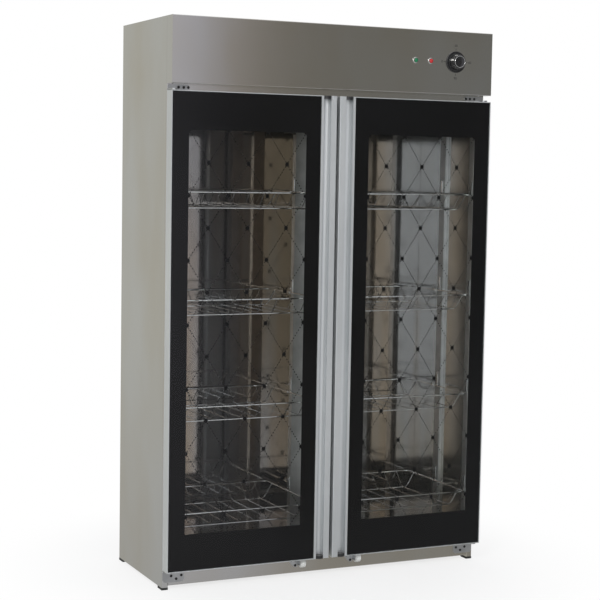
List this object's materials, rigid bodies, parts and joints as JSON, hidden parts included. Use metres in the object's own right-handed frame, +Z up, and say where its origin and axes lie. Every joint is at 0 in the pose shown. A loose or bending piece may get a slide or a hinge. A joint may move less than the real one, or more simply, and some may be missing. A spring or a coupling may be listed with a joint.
{
  "type": "dish sterilizer cabinet",
  "caption": "Tall two-door stainless cabinet that dries and sterilizes dishes, with patterned glass doors, full-height recessed handles, wire racks and a timer knob.",
  "frame": {"origin": "on the floor, under the middle of the overall box from the knob's nose to the cable gland's end", "axes": "+Z up, +Y from the doors to the back, +X to the right when facing the doors"},
  "size_m": [1.2, 0.538, 1.895],
  "materials": {
    "satin_steel": "satin stainless sheet",
    "zinc_steel": "bright zinc plate",
    "bright_wire": "polished",
    "black_rubber": "matt",
    "black_screws": "black oxide",
    "black_plastic": "gloss",
    "white_nylon": "matt",
    "timer_steel": "turned",
    "green_lens": "clear green lens",
    "red_lens": "clear red lens",
    "lamp_glass": "quartz tube",
    "door_glass": "toughened, black printed border",
    "door_aluminium": "satin anodised"
  },
  "bodies": {
    "cabinet": {"left_side_panel": "satin_steel", "right_side_panel": "satin_steel", "back_panel": "satin_steel", "top_panel": "satin_steel", "header_panel": "satin_steel", "chamber_floor": "satin_steel", "chamber_ceiling": "satin_steel", "top_rail": "satin_steel", "bottom_rail": "satin_steel", "left_wall_posts": "zinc_steel", "right_wall_posts": "zinc_steel", "centre_posts": "zinc_steel", "lower_hinges": "zinc_steel", "upper_hinges": "zinc_steel", "wheel_brackets": "zinc_steel", "heater_brackets": "zinc_steel", "rack_hooks": "bright_wire", "lamp_bezels": "bright_wire", "heater_element": "bright_wire", "foot_pads": "black_rubber", "bracket_screws": "black_screws", "timer_body": "black_plastic", "cable_gland": "black_plastic", "temperature_sensor": "black_plastic", "lamp_holders": "white_nylon", "green_lamp": "green_lens", "red_lamp": "red_lens", "sterilizing_lamp": "lamp_glass"},
    "left_door": {"left_door_frame": "door_aluminium", "left_door_glass": "door_glass", "left_door_handle": "door_aluminium", "left_handle_caps": "black_plastic", "left_door_seal": "black_rubber", "left_door_bushes": "white_nylon"},
    "right_door": {"right_door_frame": "door_aluminium", "right_door_glass": "door_glass", "right_door_handle": "door_aluminium", "right_handle_caps": "black_plastic", "right_door_seal": "black_rubber", "right_door_bushes": "white_nylon"},
    "timer": {"timer_knob": "black_plastic", "knob_ring": "bright_wire", "timer_shaft": "timer_steel"},
    "left_wheel": {"left_door_wheel": "white_nylon"},
    "right_wheel": {"right_door_wheel": "white_nylon"},
    "left_shelf_1": {"left_rack_1": "bright_wire"},
    "left_shelf_2": {"left_rack_2": "bright_wire"},
    "left_shelf_3": {"left_rack_3": "bright_wire"},
    "left_shelf_4": {"left_rack_4": "bright_wire"},
    "right_shelf_1": {"right_rack_1": "bright_wire"},
    "right_shelf_2": {"right_rack_2": "bright_wire"},
    "right_shelf_3": {"right_rack_3": "bright_wire"},
    "right_shelf_4": {"right_rack_4": "bright_wire"}
  },
  "joints": [
    {"name": "left_door_hinge", "type": "hinge", "parent": "cabinet", "child": "left_door", "pos_m": [-0.585, -0.216, 0.862], "axis": [0, 0, -1], "range_deg": [0, 110]},
    {"name": "right_door_hinge", "type": "hinge", "parent": "cabinet", "child": "right_door", "pos_m": [0.585, -0.216, 0.862], "axis": [0, 0, 1], "range_deg": [0, 110]},
    {"name": "timer_turn", "type": "hinge", "parent": "cabinet", "child": "timer", "pos_m": [0.452, -0.238, 1.789], "axis": [0, 1, 0], "range_deg": [0, 270]},
    {"name": "left_wheel_spin", "type": "hinge", "parent": "cabinet", "child": "left_wheel", "pos_m": [-0.094, -0.208, 0.0527], "axis": [1, 0, 0], "continuous": true},
    {"name": "right_wheel_spin", "type": "hinge", "parent": "cabinet", "child": "right_wheel", "pos_m": [0.119, -0.208, 0.0527], "axis": [1, 0, 0], "continuous": true},
    {"name": "left_rack_1_lift", "type": "slide", "parent": "cabinet", "child": "left_shelf_1", "axis": [0, 0, 1], "range_m": [0, 0.025]},
    {"name": "left_rack_2_lift", "type": "slide", "parent": "cabinet", "child": "left_shelf_2", "axis": [0, 0, 1], "range_m": [0, 0.025]},
    {"name": "left_rack_3_lift", "type": "slide", "parent": "cabinet", "child": "left_shelf_3", "axis": [0, 0, 1], "range_m": [0, 0.025]},
    {"name": "left_rack_4_lift", "type": "slide", "parent": "cabinet", "child": "left_shelf_4", "axis": [0, 0, 1], "range_m": [0, 0.025]},
    {"name": "right_rack_1_lift", "type": "slide", "parent": "cabinet", "child": "right_shelf_1", "axis": [0, 0, 1], "range_m": [0, 0.025]},
    {"name": "right_rack_2_lift", "type": "slide", "parent": "cabinet", "child": "right_shelf_2", "axis": [0, 0, 1], "range_m": [0, 0.025]},
    {"name": "right_rack_3_lift", "type": "slide", "parent": "cabinet", "child": "right_shelf_3", "axis": [0, 0, 1], "range_m": [0, 0.025]},
    {"name": "right_rack_4_lift", "type": "slide", "parent": "cabinet", "child": "right_shelf_4", "axis": [0, 0, 1], "range_m": [0, 0.025]}
  ]
}
